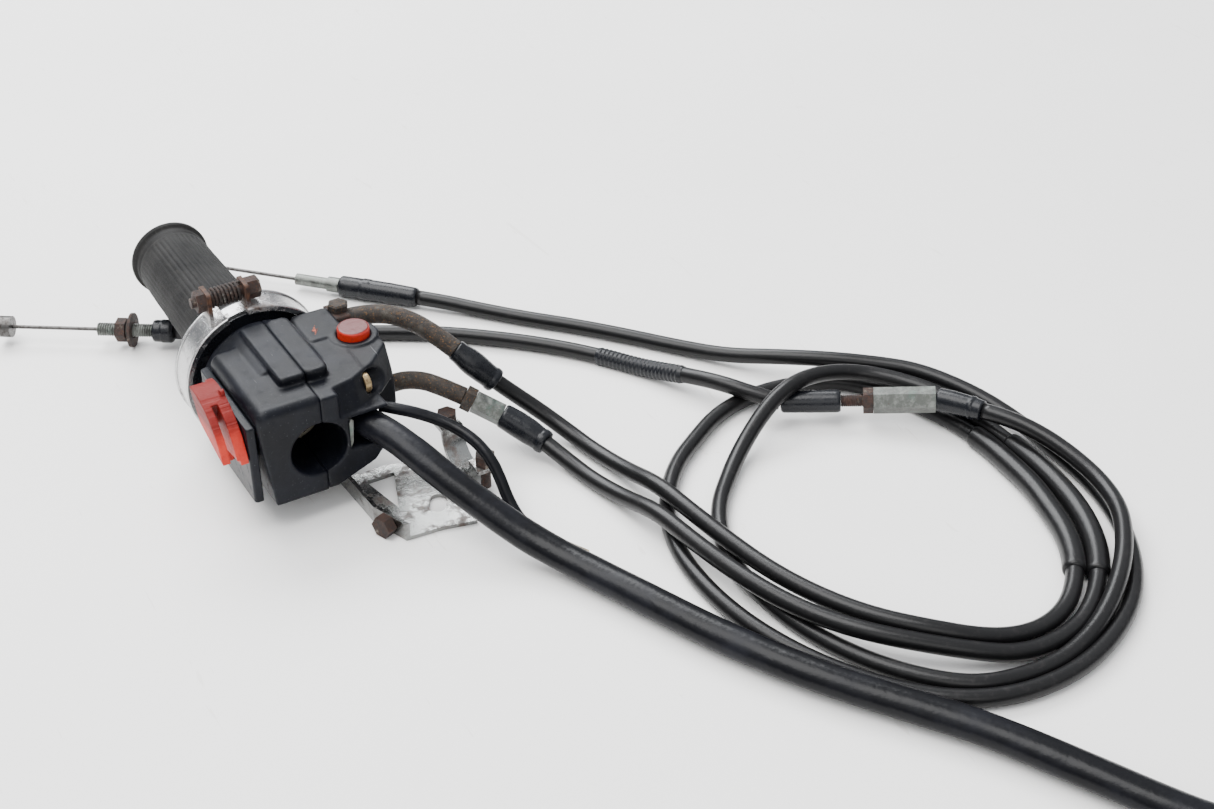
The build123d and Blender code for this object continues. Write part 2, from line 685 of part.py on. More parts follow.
# ---- carburettor end of the return cable ----
with BuildPart() as return_ferrule:
    with BuildSketch(rod_plane(A_IN, A_OUT, 24.5)):
        Circle(2.6)
        Circle(WIRE_R + 0.1, mode=Mode.SUBTRACT)
    extrude(amount=33.7)
    with BuildSketch(rod_plane(A_IN, A_OUT, 37.2)):
        Circle(3.4)
        Circle(2.5, mode=Mode.SUBTRACT)
    extrude(amount=5.6)
save(return_ferrule, "return_ferrule")
with BuildPart() as return_end_boot:
    with BuildSketch(rod_plane(A_IN, A_OUT, 0.05)):
        Circle(4.0)
    with BuildSketch(rod_plane(A_IN, A_OUT, 12.0)):
        Circle(4.75)
    loft()
    with BuildSketch(rod_plane(A_IN, A_OUT, 12.0)):
        Circle(4.75)
    extrude(amount=25.0)
    with BuildSketch(rod_plane(A_IN, A_OUT, 24.4)):
        Circle(2.64)
    extrude(amount=20.0, mode=Mode.SUBTRACT)
    with BuildSketch(rod_plane(A_IN, A_OUT, 1.0)):
        Circle(WIRE_R + 0.1)
    extrude(amount=40.0, mode=Mode.SUBTRACT)
save(return_end_boot, "return_end_boot")

RETURN_BARE = 42.0
STROKE = 20.0
with BuildPart() as return_wire:
    with BuildSketch(rod_plane(A_IN, A_OUT, 58.2 - STROKE - 6)):
        Circle(WIRE_R)
    extrude(amount=STROKE + 6 + RETURN_BARE)
save(return_wire, "return_wire")
with BuildPart() as return_nipple:
    with BuildSketch(rod_plane(A_IN, A_OUT, 58.2 + RETURN_BARE)):
        Circle(2.4)
    extrude(amount=5.0)
save(return_nipple, "return_nipple")

# ---- carburettor end of the pull cable: cap, stud, nut and tilted washer ----
with BuildPart() as pull_end_cap:
    with BuildSketch(rod_plane(B_CAP, B_END, 0.05)):
        Circle(5.0)
        Circle(2.95, mode=Mode.SUBTRACT)
    extrude(amount=9.0)
save(pull_end_cap, "pull_end_cap")
with BuildPart() as pull_end_stud:
    with BuildSketch(rod_plane(B_CAP, B_END, 0.1)):
        Circle(2.9)
        Circle(WIRE_R + 0.1, mode=Mode.SUBTRACT)
    extrude(amount=33.0)
save(pull_end_stud, "pull_end_stud")
with BuildPart() as pull_end_nut:
    hex_head(rod_plane(B_CAP, B_END, 20.6), 9.0, 4.2, hole=2.94)
save(pull_end_nut, "pull_end_nut")
with BuildPart() as pull_end_washer:
    with BuildSketch(rod_plane(B_CAP, B_END, 17.6)):
        Circle(7.4)
        Circle(3.3, mode=Mode.SUBTRACT)
    extrude(amount=1.2)
save(pull_end_washer, "pull_end_washer")
PULL_BARE = 37.4
with BuildPart() as pull_wire:
    with BuildSketch(rod_plane(B_CAP, B_END, 20.4)):
        Circle(WIRE_R)
    extrude(amount=33.1 - 20.4 + PULL_BARE)
save(pull_wire, "pull_wire")
with BuildPart() as pull_nipple:
    with BuildSketch(rod_plane(B_CAP, B_END, 33.1 + PULL_BARE)):
        Circle(4.6)
    extrude(amount=5.5)
save(pull_nipple, "pull_nipple")

# ---- adjuster in the middle of the pull cable ----
with BuildPart() as inline_sleeve:
    with BuildSketch(rod_plane(IN_A, IN_B, 0.1)):
        Circle(4.6)
    extrude(amount=24.0)
save(inline_sleeve, "inline_sleeve")
with BuildPart() as inline_stud:
    with BuildSketch(rod_plane(IN_A, IN_B, 24.15)):
        Circle(2.5)
    extrude(amount=18.0)
save(inline_stud, "inline_stud")
with BuildPart() as inline_nut:
    hex_head(rod_plane(IN_A, IN_B, 33.0), 9.0, 4.0, hole=2.53)
save(inline_nut, "inline_nut")
with BuildPart() as inline_hex:
    with BuildSketch(rod_plane(IN_A, IN_B, 37.1)):
        RegularPolygon(4.6, 6, major_radius=False)
    extrude(amount=24.4)
    with BuildSketch(rod_plane(IN_A, IN_B, 36.0)):
        Circle(2.53)
    extrude(amount=8.0, mode=Mode.SUBTRACT)
save(inline_hex, "inline_hex")
IN_BOOT = [IN_B, (237.4, -78.6, -16.0), (241.5, -88.8, -15.2)]
tube("inline_boot", IN_BOOT, 9.4)

# ---- wiring loom with its connector, and the thin brake switch lead ----
LOOM = [
    (18.9, 9.6, 2.4), (24.0, -3.0, 2.2), (29.2, -17.0, -0.6), (35.0, -31.0, -6.0),
    (42.0, -43.8, -11.8), (49.0, -56.0, -17.4), (56.4, -68.6, -21.6), (64.0, -84.0, LOOM_Z),
    (74.4, -110.0, LOOM_Z), (87.2, -142.4, LOOM_Z), (103.0, -172.6, LOOM_Z),
    (120.0, -197.0, LOOM_Z), (134.6, -219.0, LOOM_Z), (147.0, -243.6, LOOM_Z),
    (157.6, -266.0, LOOM_Z), (166.4, -283.0, LOOM_Z), (176.0, -296.0, LOOM_Z),
]
tube("loom_sleeve", LOOM, LOOM_D)
LOOM_DIR = (185.6, -309.0, LOOM_Z)
with BuildPart() as loom_connector:
    with BuildSketch(rod_plane(LOOM[-1], LOOM_DIR, 0.1)):
        RectangleRounded(20, 12, 1.5)
    extrude(amount=26)
save(loom_connector, "loom_connector")

BRAKE_LEAD = [
    (28.6, 9.0, 4.0), (33.4, 4.8, 3.4), (38.6, 1.6, 2.0), (45.0, -2.8, -0.4), (50.6, -9.0, -2.8),
    (54.8, -17.6, -5.4), (57.0, -25.6, -9.8), (57.6, -31.4, -15.4), (57.6, -37.0, -21.2),
    (58.2, -44.5, -25.9), (60.6, -53.5, -27.7), (64.9, -62.5, -27.7),
]
tube("brake_switch_lead", BRAKE_LEAD, LEAD_D)
with BuildPart() as brake_lead_terminal:
    with BuildSketch(rod_plane(BRAKE_LEAD[-1], (69.2, -71.5, -27.7), 0.1)):
        Circle(2.2)
    extrude(amount=12)
save(brake_lead_terminal, "brake_lead_terminal")

with BuildPart() as harness_clip:
    with BuildSketch(across(0.4)):
        with BuildLine():
            Polyline((12.3, 6.4), (13.2, 8.4), (14.2, 7.6), (13.4, -2.0), (12.3, -4.0), close=True)
        make_face()
    extrude(amount=-3.0)
save(harness_clip, "harness_clip")

# ---- clamp bracket beside the housing ----
STRAP = (-3.0, -17.0)  # axis of the strap, y and z
STRAP_X = (53.0, 62.0)
PLATE_T = 1.6
with BuildPart() as bracket_plate:
    with BuildSketch(Plane.XY.offset(FLOOR)):
        with BuildLine():
            Polyline(
                (12, 15), (32, 15), (46, 9), (52.8, 4), (52.8, -10), (46, -34), (33, -31),
                (19, -30), (13, -14), close=True,
            )
        make_face()
        with BuildLine():
            Polyline((20, 9), (32, 9), (24, -12), close=True)
        make_face(mode=Mode.SUBTRACT)
        with Locations((38, -17)):
            SlotOverall(11, 6.5, rotation=60, mode=Mode.SUBTRACT)
    extrude(amount=PLATE_T)
    with BuildSketch(Plane.XY.offset(FLOOR)):
        with BuildLine():
            Polyline((12, 15), (13.6, 15), (14.6, -14), (20.4, -30), (18.8, -30), (13, -14), close=True)
        make_face()
    extrude(amount=7.5)
save(bracket_plate, "bracket_plate")

with BuildPart() as bracket_strap:
    with BuildSketch(side(STRAP_X[0])):
        with Locations(STRAP):
            Circle(13.0)
            Circle(11.2, mode=Mode.SUBTRACT)
        with Locations((STRAP[0], STRAP[1] + 20 + 1.0)):
            Rectangle(60, 40, mode=Mode.SUBTRACT)
        with Locations((STRAP[0] + 15.6, STRAP[1] + 0.1), (STRAP[0] - 15.6, STRAP[1] + 0.1)):
            Rectangle(8.0, 1.8)
    extrude(amount=STRAP_X[1] - STRAP_X[0])
    with BuildSketch(Plane.XY.offset(STRAP[1] - 3)):
        with Locations((57.5, STRAP[0] + 16.2), (57.5, STRAP[0] - 16.2)):
            Circle(2.1)
    extrude(amount=6, mode=Mode.SUBTRACT)
save(bracket_strap, "bracket_strap")

with BuildPart() as bracket_bolts:
    for y in (STRAP[0] + 16.2, STRAP[0] - 16.2):
        hex_head(Plane(origin=(57.5, y, STRAP[1] + 1.05)), 7.0, 4.4)
        with BuildSketch(Plane(origin=(57.5, y, STRAP[1] + 1.05))):
            Circle(2.0)
        extrude(amount=-10.5)
save(bracket_bolts, "bracket_bolts")

with BuildPart() as bracket_edge_bolt:
    with BuildSketch(Plane(origin=(15.4, -21.6, -26.0), z_dir=(-0.93, -0.37, 0))):
        RegularPolygon(3.9, 6, major_radius=False)
    extrude(amount=4.2)
save(bracket_edge_bolt, "bracket_edge_bolt")
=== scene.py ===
import json
import math

import bpy
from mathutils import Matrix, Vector, noise


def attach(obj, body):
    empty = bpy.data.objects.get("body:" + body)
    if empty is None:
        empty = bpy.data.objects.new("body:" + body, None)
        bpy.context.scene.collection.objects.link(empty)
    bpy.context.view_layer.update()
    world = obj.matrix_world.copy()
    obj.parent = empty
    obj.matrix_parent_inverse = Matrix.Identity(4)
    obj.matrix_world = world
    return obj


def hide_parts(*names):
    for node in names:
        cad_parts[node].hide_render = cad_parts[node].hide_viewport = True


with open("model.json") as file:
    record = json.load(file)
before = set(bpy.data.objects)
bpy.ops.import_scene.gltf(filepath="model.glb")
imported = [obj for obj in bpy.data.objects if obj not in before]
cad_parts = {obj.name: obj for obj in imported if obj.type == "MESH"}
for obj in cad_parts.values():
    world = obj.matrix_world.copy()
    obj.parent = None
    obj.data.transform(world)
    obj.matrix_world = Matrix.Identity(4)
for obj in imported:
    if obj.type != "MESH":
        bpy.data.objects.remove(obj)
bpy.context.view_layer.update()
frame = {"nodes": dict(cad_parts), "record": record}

MM = 0.001
FLOOR = -0.030

# ---- camera ----
camera = bpy.data.objects.new("camera", bpy.data.cameras.new("camera"))
bpy.context.scene.collection.objects.link(camera)
camera.location = (-0.18188, -0.51411, 0.38733)
camera.rotation_euler = (math.radians(90 - 34.48), 0, math.radians(-30.61))
camera.data.sensor_width = 36
camera.data.lens = 53.38
camera.data.clip_start = 0.01
bpy.context.scene.camera = camera


# ---- cords: the routes of part.py, in millimetres here and in metres on the curves ----
CABLE_D = 6.6
CABLE_Z = -26.7  # a cable on the floor
OVER_Z = -19.7  # a cable on another one
LOOM_D = 12.5
LOOM_Z = -23.75
LEAD_D = 4.6
COIL_C = (180.0, -110.0)
COIL_STRETCH = 16.0

RETURN_LEAD = [
    (73.3, 22.6, 1.4), (77.4, 19.6, -3.2), (81.4, 17.0, -7.6), (87.7, 12.6, -13.6),
    (95.0, 5.6, -20.0), (100.8, -5.0, -24.8), (104.4, -20.0, CABLE_Z), (107.4, -40.0, -24.6),
    (109.4, -59.0, OVER_Z), (111.2, -79.0, OVER_Z), (113.8, -101.0, -20.0), (117.2, -122.0, -20.0),
    (123.4, -142.0, OVER_Z), (133.0, -160.0, OVER_Z), (146.0, -175.0, OVER_Z),
]
PULL_LEAD = [
    (77.3, 4.6, -14.9), (83.6, -2.2, -19.2), (88.2, -11.4, -22.9), (91.6, -22.9, -25.6),
    (94.4, -37.0, CABLE_Z), (97.8, -55.0, -24.6),
    (100.4, -73.0, OVER_Z), (102.4, -94.0, OVER_Z), (105.8, -115.0, -20.0), (110.6, -136.0, OVER_Z),
    (119.2, -155.0, OVER_Z), (131.5, -171.5, OVER_Z),
]
A_IN = (94.5, 117.6, -25.2)
A_OUT = (54.6, 160.0, -25.2)
RETURN_TAIL = [
    (243.0, -48.0, OVER_Z), (231.0, -35.0, OVER_Z), (216.0, -22.0, OVER_Z), (200.0, -7.0, -21.6),
    (186.0, 9.0, -25.4), (173.0, 27.0, CABLE_Z), (158.5, 46.0, CABLE_Z), (143.4, 64.2, CABLE_Z),
    (127.5, 81.0, CABLE_Z), (112.5, 98.5, -26.4), (103.0, 108.8, -25.4), A_IN,
]
IN_A = (183.0, -34.6, -22.4)
IN_B = (233.4, -71.6, -17.0)
B_CAP = (-8.9, 141.0, -22.4)
B_END = (-72.1, 183.1, -22.4)
PULL_TAIL = [
    IN_A, (175.6, -27.0, -20.6), (167.6, -14.0, OVER_Z), (160.6, 2.0, -22.6), (152.0, 20.0, CABLE_Z),
    (141.0, 37.6, CABLE_Z), (127.6, 54.4, CABLE_Z), (111.0, 71.0, CABLE_Z), (91.0, 88.0, CABLE_Z),
    (67.8, 102.6, CABLE_Z), (44.0, 115.0, CABLE_Z), (21.0, 125.4, -25.8), (4.0, 133.0, -23.6), B_CAP,
]
PULL_LINK = [
    (248.0, -159.0, OVER_Z), (254.0, -143.0, OVER_Z), (255.0, -126.0, -18.6), (252.0, -111.0, -16.4),
    (246.4, -98.0, -14.8), (241.6, -89.0, -15.15),
]
LOOM = [
    (18.9, 9.6, 2.4), (24.0, -3.0, 2.2), (29.2, -17.0, -0.6), (35.0, -31.0, -6.0), (42.0, -43.8, -11.8),
    (49.0, -56.0, -17.4), (56.4, -68.6, -21.6), (64.0, -84.0, LOOM_Z), (74.4, -110.0, LOOM_Z),
    (87.2, -142.4, LOOM_Z), (103.0, -172.6, LOOM_Z), (120.0, -197.0, LOOM_Z), (134.6, -219.0, LOOM_Z),
    (147.0, -243.6, LOOM_Z), (157.6, -266.0, LOOM_Z), (166.4, -283.0, LOOM_Z), (176.0, -296.0, LOOM_Z),
]
BRAKE_LEAD = [
    (28.6, 9.0, 4.0), (33.4, 4.8, 3.4), (38.6, 1.6, 2.0), (45.0, -2.8, -0.4), (50.6, -9.0, -2.8),
    (54.8, -17.6, -5.4), (57.0, -25.6, -9.8), (57.6, -31.4, -15.4), (57.6, -37.0, -21.2),
    (58.2, -44.5, -25.9), (60.6, -53.5, -27.7), (64.9, -62.5, -27.7),
]
# angle on the oval, half width along X and height at the places where a turn changes its way
RETURN_TURNS = [
    (252, 62.5, -22.8), (270, 63, -26.4), (285, 63, CABLE_Z), (303, 60.5, -25.4), (336, 56.5, -25.4),
    (360, 57.5, -25.6), (390, 65, CABLE_Z), (420, 76, CABLE_Z), (450, 74.5, CABLE_Z),
    (480, 72.5, CABLE_Z), (525, 82.5, CABLE_Z), (570, 84.5, CABLE_Z), (605, 89, CABLE_Z),
    (645, 82, CABLE_Z), (720, 80, CABLE_Z), (745, 80, -21.0),
]
PULL_TURNS = [
    (250, 70, -22.8), (264, 70.5, -26.4), (285, 70.5, CABLE_Z), (305, 68.5, -25.4), (350, 66.5, -25.4),
    (368, 67.5, -25.6), (380, 68.5, -23.5), (392, 70, -20.0), (416, 71.5, -18.6), (428, 66, -15.8),
    (438, 60.5, -13.9), (450, 55.5, -14.4), (463, 53, -18.5), (478, 52.5, -24), (495, 54, CABLE_Z),
    (530, 66, CABLE_Z), (575, 74.5, CABLE_Z), (605, 81.5, CABLE_Z), (632, 78, CABLE_Z),
    (650, 75.5, -24.0), (664, 75.5, -21.3), (677, 77, -19.8),
]


def oval_place(angle, width, height):
    """Point of the oval turns at an angle in degrees."""
    turn = math.radians(angle)
    return (COIL_C[0] + width * math.cos(turn), COIL_C[1] + (width + COIL_STRETCH) * math.sin(turn), height)


def oval_turns(knots, step=12.0):
    """Points of loose oval turns every few degrees, between the knots that set width and height."""
    count = round((knots[-1][0] - knots[0][0]) / step)
    points = []
    for i in range(count + 1):
        angle = knots[0][0] + i * (knots[-1][0] - knots[0][0]) / count
        for (a0, w0, z0), (a1, w1, z1) in zip(knots, knots[1:]):
            if a0 <= angle <= a1:
                share = (angle - a0) / (a1 - a0)
                width = w0 + (w1 - w0) * share
                height = z0 + (z1 - z0) * share
                break
        points.append(oval_place(angle, width, height))
    return points


def spline(name, points):
    """NURBS curve with the route's points as its control points."""
    curve = bpy.data.curves.new(name, "CURVE")
    curve.dimensions = "3D"
    line = curve.splines.new("NURBS")
    line.points.add(len(points) - 1)
    for point, place in zip(line.points, points):
        point.co = (place[0] * MM, place[1] * MM, place[2] * MM, 1)
    line.order_u = 3
    line.use_endpoint_u = True
    line.resolution_u = 8
    piece = bpy.data.objects.new(name, curve)
    bpy.context.scene.collection.objects.link(piece)
    return piece


def line_of(points):
    """The route's smooth line, read from its NURBS spline, in metres."""
    bare = spline("bare_line", points)
    bpy.context.view_layer.update()
    mesh = bpy.data.meshes.new_from_object(bare)
    places = [v.co.copy() for v in mesh.vertices]
    bpy.data.meshes.remove(mesh)
    bpy.data.objects.remove(bare)
    return places


def length_of(line):
    return sum((b - a).length for a, b in zip(line, line[1:]))


def at_length(line, distance):
    """Point that far along a line."""
    for a, b in zip(line, line[1:]):
        run = (b - a).length
        if distance <= run:
            return a.lerp(b, distance / run)
        distance -= run
    return line[-1].copy()


def part_of(line, start, end, count):
    """Evenly spaced points of a line, from start to end along it, in metres."""
    return [at_length(line, start + (end - start) * i / (count - 1)) for i in range(count)]


def new_mesh(name, vertices, faces, smooth=True):
    mesh = bpy.data.meshes.new(name)
    mesh.from_pydata([tuple(v) for v in vertices], [], faces)
    mesh.update()
    if smooth:
        mesh.polygons.foreach_set("use_smooth", [True] * len(mesh.polygons))
    piece = bpy.data.objects.new(name, mesh)
    bpy.context.scene.collection.objects.link(piece)
    return piece


def swept(name, line, radius, sides=32, flat=1.0, bore=0.0):
    """Tube or bored tube along a line.  radius(i, angle) gives its size at the i-th point, flat its
    height to width, and bore the radius of the hole through it."""
    vertices, faces, inner = [], [], []
    up = Vector((0, 0, 1))
    for i, place in enumerate(line):
        ahead = line[min(i + 1, len(line) - 1)] - line[max(i - 1, 0)]
        ahead.normalize()
        across = ahead.cross(up)
        if across.length < 1e-3:
            across = ahead.cross(Vector((0, 1, 0)))
        across.normalize()
        rise = across.cross(ahead)
        for s in range(sides):
            angle = 2 * math.pi * s / sides
            size = radius(i, angle)
            outwards = across * math.cos(angle) + rise * (flat * math.sin(angle))
            vertices.append(place + outwards * size)
            inner.append(place + outwards * bore)
    for i in range(len(line) - 1):
        for s in range(sides):
            t = (s + 1) % sides
            a, b = i * sides, (i + 1) * sides
            faces.append((a + s, a + t, b + t, b + s))
    last = (len(line) - 1) * sides
    if bore:
        faces += [tuple(len(vertices) + corner for corner in reversed(face)) for face in faces]
        for s in range(sides):
            t, shift = (s + 1) % sides, len(vertices)
            faces.append((t, s, s + shift, t + shift))
            faces.append((last + s, last + t, last + t + shift, last + s + shift))
        vertices += inner
    else:
        faces.append(tuple(reversed(range(sides))))
        faces.append(tuple(last + s for s in range(sides)))
    return new_mesh(name, vertices, faces)


def unit(start, end):
    return (Vector(end) - Vector(start)).normalized()


def along(start, end, distance):
    """Point that far from start on the way to end, in metres."""
    return (Vector(start) + unit(start, end) * distance) * MM


return_route = RETURN_LEAD + oval_turns(RETURN_TURNS) + RETURN_TAIL
pull_route = PULL_LEAD + oval_turns(PULL_TURNS) + PULL_LINK
return_line = line_of(return_route)
pull_line = line_of(pull_route)
tail_line = line_of(PULL_TAIL)
lead_line = line_of(BRAKE_LEAD)
loom_line = line_of(LOOM)
return_cable = swept("return_cable", return_line, lambda i, angle: CABLE_D / 2 * MM, 28)
pull_cable = swept("pull_cable", pull_line, lambda i, angle: CABLE_D / 2 * MM, 28)
pull_cable_end = swept("pull_cable_end", tail_line, lambda i, angle: CABLE_D / 2 * MM, 28)
brake_lead = swept("brake_lead", lead_line, lambda i, angle: LEAD_D / 2 * MM, 24)
LOOM_FLAT = 0.84  # height to width of the loom's section


def loom_size(i, angle):
    """The PVC sleeve pinches and swells a little over the wires in it."""
    ripple = noise.noise(Vector((i * 0.16, math.cos(angle) * 0.8, math.sin(angle) * 0.8)))
    return LOOM_D / 2 * MM * (0.985 + 0.035 * ripple)


loom = swept("loom", loom_line, loom_size, sides=40, flat=LOOM_FLAT)
nodes = frame["nodes"]

for piece, hidden in (
    (return_cable, ["return_cable_lead", "cable_coil", "return_cable_tail"]),
    (pull_cable, ["pull_cable_lead", "cable_coil_inner", "pull_cable_link"]),
    (pull_cable_end, ["pull_cable_tail"]),
    (brake_lead, ["brake_switch_lead"]),
    (loom, ["loom_sleeve"]),
):
    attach(piece, "housing")
    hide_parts(*hidden)


# ---- finishes ----
class Finish:
    """A procedural material: one Principled shader and short calls for the nodes that feed it."""

    def __init__(self, name, roughness=0.5, metallic=0.0, coat=0.0, specular=0.5):
        self.material = bpy.data.materials.new(name)
        self.material.use_nodes = True
        self.tree = self.material.node_tree
        self.shader = self.tree.nodes["Principled BSDF"]
        self.shader.inputs["Roughness"].default_value = roughness
        self.shader.inputs["Metallic"].default_value = metallic
        self.shader.inputs["Coat Weight"].default_value = coat
        self.shader.inputs["Coat Roughness"].default_value = 0.12
        self.shader.inputs["Specular IOR Level"].default_value = specular
        self.place = self.node("ShaderNodeTexCoord").outputs["Object"]

    def node(self, kind, **settings):
        made = self.tree.nodes.new(kind)
        for name, value in settings.items():
            setattr(made, name, value)
        return made

    def link(self, source, target):
        if isinstance(source, (int, float)):
            target.default_value = source
        elif isinstance(source, tuple):
            target.default_value = (*source, 1.0)
        else:
            self.tree.links.new(source, target)

    def stretched(self, scale):
        mapping = self.node("ShaderNodeMapping")
        mapping.inputs["Scale"].default_value = scale
        self.link(self.place, mapping.inputs["Vector"])
        return mapping.outputs["Vector"]

    def noise(self, scale, detail=4.0, rough=0.6, stretch=None, twist=0.0):
        """Noise with features about 1/scale metres wide."""
        made = self.node("ShaderNodeTexNoise")
        made.inputs["Scale"].default_value = scale
        made.inputs["Detail"].default_value = detail
        made.inputs["Roughness"].default_value = rough
        made.inputs["Distortion"].default_value = twist
        self.link(self.stretched(stretch) if stretch else self.place, made.inputs["Vector"])
        return made.outputs["Fac"]

    def steps(self, value, low, high):
        """0 below low, 1 above high, smooth between."""
        made = self.node("ShaderNodeMapRange", interpolation_type="SMOOTHSTEP")
        self.link(value, made.inputs["Value"])
        made.inputs["From Min"].default_value = low
        made.inputs["From Max"].default_value = high
        return made.outputs["Result"]

    def sum(self, first, second, operation="ADD"):
        made = self.node("ShaderNodeMath", operation=operation)
        self.link(first, made.inputs[0])
        self.link(second, made.inputs[1])
        return made.outputs["Value"]

    def times(self, first, second):
        return self.sum(first, second, "MULTIPLY")

    def colours(self, mask, first, second):
        """The first colour where the mask is 0, the second where it is 1."""
        made = self.node("ShaderNodeMix", data_type="RGBA")
        self.link(mask, made.inputs["Factor"])
        self.link(first, made.inputs[6])
        self.link(second, made.inputs[7])
        return made.outputs[2]

    def values(self, mask, first, second):
        made = self.node("ShaderNodeMix", data_type="FLOAT")
        self.link(mask, made.inputs[0])
        self.link(first, made.inputs[2])
        self.link(second, made.inputs[3])
        return made.outputs[0]

    def axis(self, name):
        """X, Y or Z of the place on the object, in metres."""
        made = self.node("ShaderNodeSeparateXYZ")
        self.link(self.place, made.inputs[0])
        return made.outputs[name]

    def facing_up(self):
        made = self.node("ShaderNodeSeparateXYZ")
        self.link(self.node("ShaderNodeNewGeometry").outputs["Normal"], made.inputs[0])
        return made.outputs["Z"]

    def colour(self, source):
        self.link(source, self.shader.inputs["Base Color"])

    def rough(self, source):
        self.link(source, self.shader.inputs["Roughness"])

    def metal(self, source):
        self.link(source, self.shader.inputs["Metallic"])

    def bump(self, height, distance, strength=1.0):
        """Relief of that depth in metres."""
        made = self.node("ShaderNodeBump")
        made.inputs["Distance"].default_value = distance
        made.inputs["Strength"].default_value = strength
        self.link(height, made.inputs["Height"])
        self.link(made.outputs["Normal"], self.shader.inputs["Normal"])


def plastic(name, dark, light, dust=(0.17, 0.175, 0.185), roughness=0.46, dusty=0.5):
    """Moulded plastic with fine grain, faded patches, dust specks and pale scratches."""
    f = Finish(name, roughness, specular=0.16)
    fade = f.steps(f.noise(55, 5), 0.35, 0.72)
    base = f.colours(fade, dark, light)
    specks = f.steps(f.noise(1500, 3, 0.7), 0.66, 0.72)
    haze = f.steps(f.noise(260, 6, 0.7), 0.50, 0.78)
    up = f.steps(f.facing_up(), -0.1, 1.0)
    scratch = f.steps(f.noise(90, 3, 0.55, (16, 1, 1.5), 0.6), 0.735, 0.755)
    base = f.colours(f.times(f.times(haze, up), dusty * 0.12), base, dust)
    base = f.colours(f.times(specks, dusty), base, dust)
    f.colour(f.colours(f.times(scratch, 0.55), base, dust))
    f.rough(f.values(haze, roughness - 0.06, roughness + 0.20))
    f.bump(f.sum(f.noise(2600, 3), f.times(scratch, -0.6)), 0.00006)
    return f.material


def black_plastic():
    return plastic("black_plastic", (0.0020, 0.0024, 0.0042), (0.0056, 0.0066, 0.0108), dusty=0.42)


def cover_plastic():
    return plastic("cover_plastic", (0.0026, 0.0032, 0.0054), (0.0072, 0.0084, 0.0130), roughness=0.40)


def rocker_red():
    """Weathered coral red, darker and browner at its upper end."""
    f = Finish("rocker_red", 0.55, specular=0.14)
    fade = f.steps(f.noise(80, 6, 0.7), 0.35, 0.70)
    base = f.colours(fade, (0.36, 0.018, 0.012), (0.50, 0.046, 0.030))
    end = f.steps(f.axis("Z"), 0.011, 0.0165)
    base = f.colours(f.times(end, 0.85), base, (0.115, 0.008, 0.007))
    grime = f.steps(f.noise(420, 6, 0.75), 0.56, 0.74)
    f.colour(f.colours(f.times(grime, 0.55), base, (0.045, 0.012, 0.010)))
    f.rough(f.values(grime, 0.48, 0.70))
    ribs = f.times(end, f.steps(f.noise(420, 1, 0.5, (0.02, 0.02, 3)), 0.45, 0.55))
    f.bump(f.sum(f.noise(1300, 4), ribs), 0.00014)
    return f.material


def button_red():
    """Dull worn red on top and a brighter orange red round the side."""
    f = Finish("button_red", 0.42, specular=0.35)
    top = f.steps(f.facing_up(), 0.55, 0.93)
    base = f.colours(top, (0.46, 0.022, 0.010), (0.088, 0.006, 0.006))
    worn = f.steps(f.noise(480, 5, 0.7), 0.50, 0.72)
    f.colour(f.colours(f.times(worn, 0.5), base, (0.065, 0.010, 0.010)))
    f.rough(f.values(worn, 0.36, 0.62))
    f.bump(f.noise(1100, 4), 0.00010)
    return f.material


def grip_rubber():
    """Worn grey-black rubber with a dusty, rubbed front."""
    f = Finish("grip_rubber", 0.72, specular=0.15)
    patch = f.steps(f.noise(42, 6, 0.65), 0.34, 0.70)
    base = f.colours(patch, (0.0050, 0.0049, 0.0051), (0.0150, 0.0145, 0.0142))
    rubbed = f.steps(f.noise(700, 5, 0.75, (1, 0.3, 1)), 0.50, 0.75)
    base = f.colours(f.times(rubbed, 0.5), base, (0.050, 0.048, 0.044))
    specks = f.steps(f.noise(1700, 2), 0.70, 0.76)
    f.colour(f.colours(f.times(specks, 0.4), base, (0.11, 0.105, 0.095)))
    f.rough(f.values(rubbed, 0.62, 0.84))
    f.bump(f.sum(f.noise(1500, 5, 0.7), f.noise(260, 4)), 0.00016)
    return f.material


def hose_rubber():
    """Glossy blue-black boots and sleeves with dusty smears."""
    f = Finish("hose_rubber", 0.34, coat=0.04, specular=0.24)
    smear = f.steps(f.noise(190, 6, 0.7), 0.50, 0.76)
    base = f.colours(f.noise(70), (0.0030, 0.0034, 0.0046), (0.0075, 0.0085, 0.0115))
    f.colour(f.colours(f.times(smear, 0.22), base, (0.040, 0.040, 0.042)))
    f.rough(f.values(smear, 0.27, 0.55))
    f.bump(f.noise(900, 4), 0.00008)
    return f.material


def cable_sheath():
    """Satin black extruded sheath, scuffed, with grey dust and a painted warm grey highlight in the scuffs
    on its upper side.
    """
    f = Finish("cable_sheath", 0.34, coat=0.02, specular=0.24)
    scuff_and_highlight = f.steps(f.noise(330, 6, 0.72), 0.52, 0.74)
    base = f.colours(f.noise(24, 3), (0.0030, 0.0030, 0.0034), (0.0072, 0.0070, 0.0074))
    up = f.steps(f.facing_up(), 0.2, 1.0)
    # painted highlight: the scuffs on the upper side get a warm grey that is partly dust and partly painted
    # light
    f.colour(f.colours(f.times(f.times(scuff_and_highlight, up), 0.35), base, (0.036, 0.031, 0.031)))
    f.rough(f.values(scuff_and_highlight, 0.30, 0.46))
    f.bump(f.noise(1200, 4), 0.00007)
    return f.material


